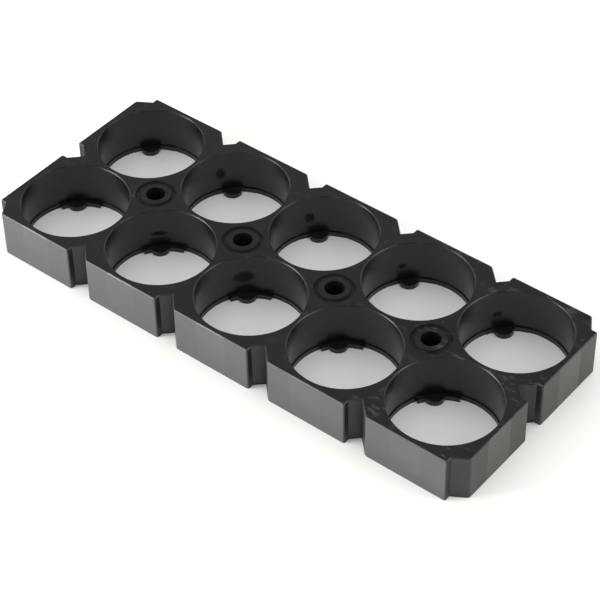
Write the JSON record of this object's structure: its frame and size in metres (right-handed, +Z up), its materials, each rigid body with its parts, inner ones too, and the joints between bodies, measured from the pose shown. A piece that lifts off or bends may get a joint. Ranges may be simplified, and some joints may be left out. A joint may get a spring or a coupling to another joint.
{
  "type": "battery cell holder bracket",
  "caption": "Flat moulded black bracket that holds round battery cells upright in two rows, with screw bosses between the rows and notched sides.",
  "frame": {"origin": "middle of the underside", "axes": "+Z up, the way the cells are let in from; +X along the rows; +Y across them"},
  "size_m": [0.1134, 0.0462, 0.01],
  "materials": {
    "holder_plastic": "satin, slightly glossy as moulded"
  },
  "bodies": {
    "root": {"cell_holder": "holder_plastic"}
  },
  "joints": []
}
